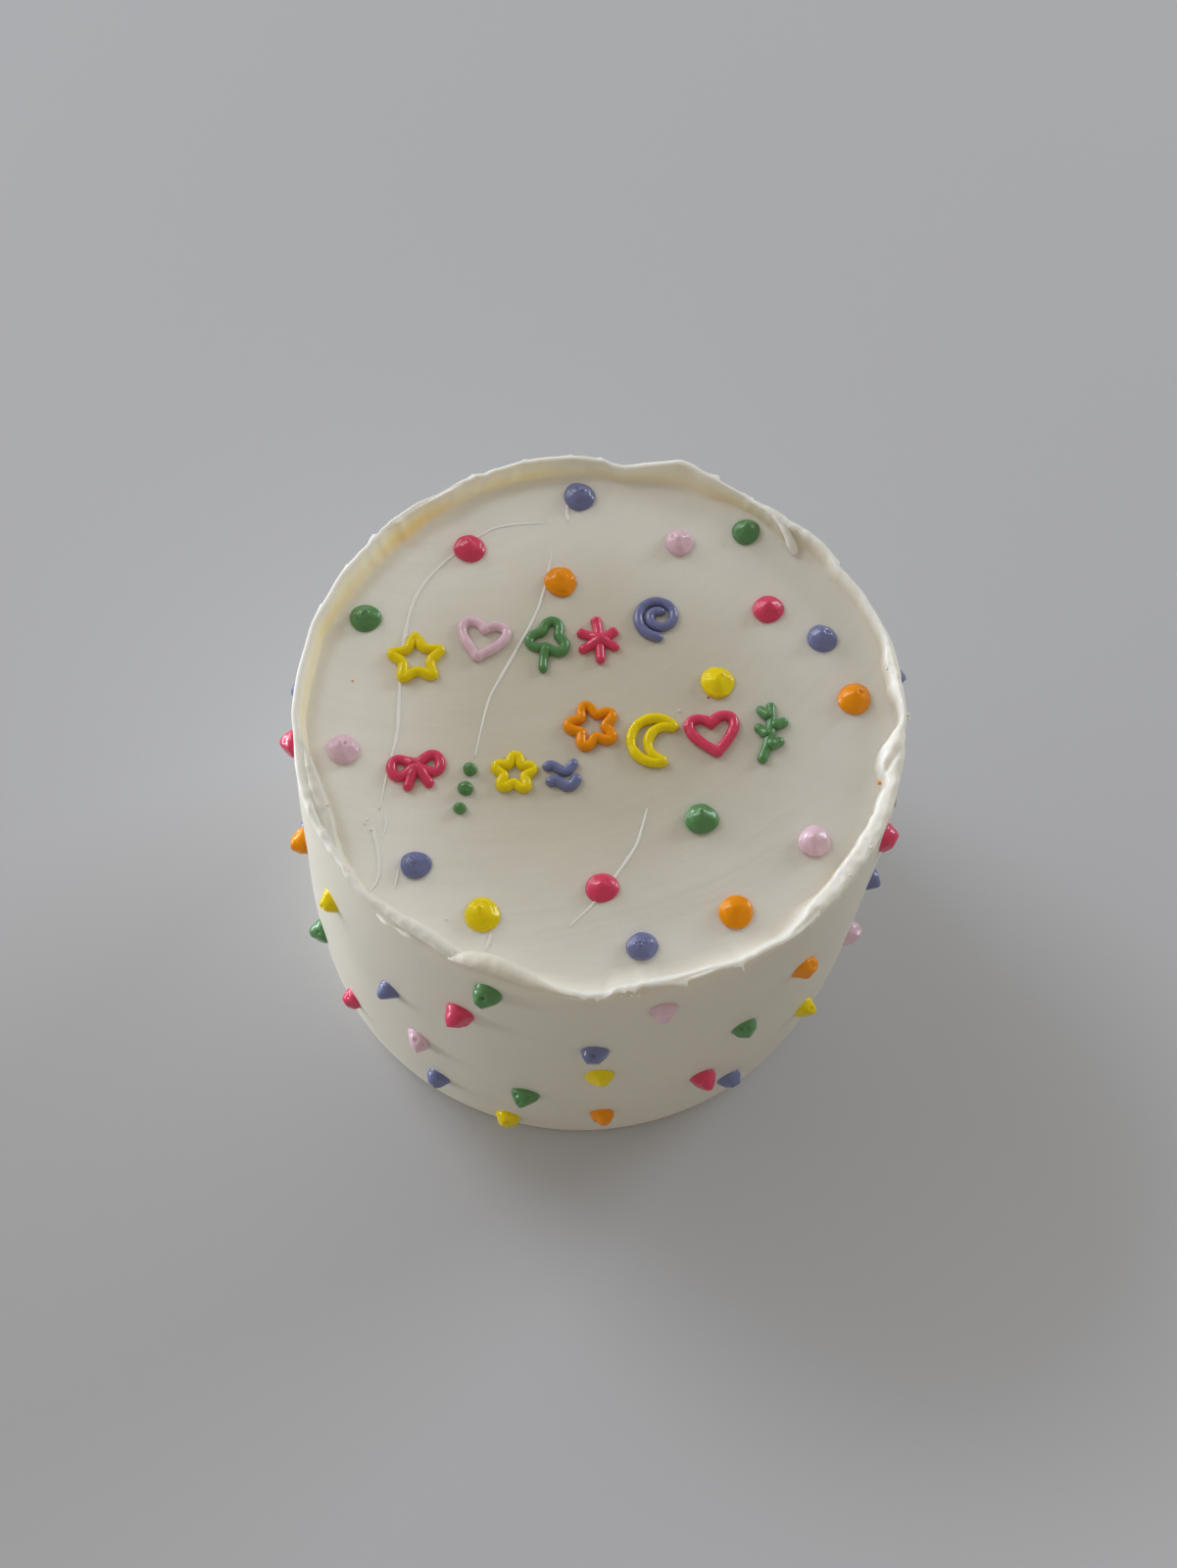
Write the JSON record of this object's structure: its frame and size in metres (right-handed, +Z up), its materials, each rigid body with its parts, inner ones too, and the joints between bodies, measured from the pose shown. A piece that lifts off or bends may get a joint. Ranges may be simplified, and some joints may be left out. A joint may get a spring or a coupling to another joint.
{
  "type": "celebration cake",
  "caption": "Tall round cream cake with an uneven standing cream rim, piped dots on its top and side, and small piped ornaments across the top.",
  "frame": {"origin": "centre of the flat round base, on the surface that the cake stands on", "axes": "+Z up; -Y is the side that faces the viewer, with the ornaments upright to it; +X is the viewer's right"},
  "size_m": [0.1655, 0.1647, 0.1186],
  "materials": {
    "cream": "smooth satin whipped cream, warm off-white",
    "icing_blue": "soft glossy piped icing, dusty blue",
    "icing_crimson": "soft glossy piped icing, crimson",
    "icing_orange": "soft glossy piped icing, orange",
    "icing_yellow": "soft glossy piped icing, yellow",
    "icing_green": "soft glossy piped icing, leaf green",
    "icing_pink": "soft satin piped icing, pale pink"
  },
  "bodies": {
    "root": {"cake": "cream"}
  },
  "joints": []
}
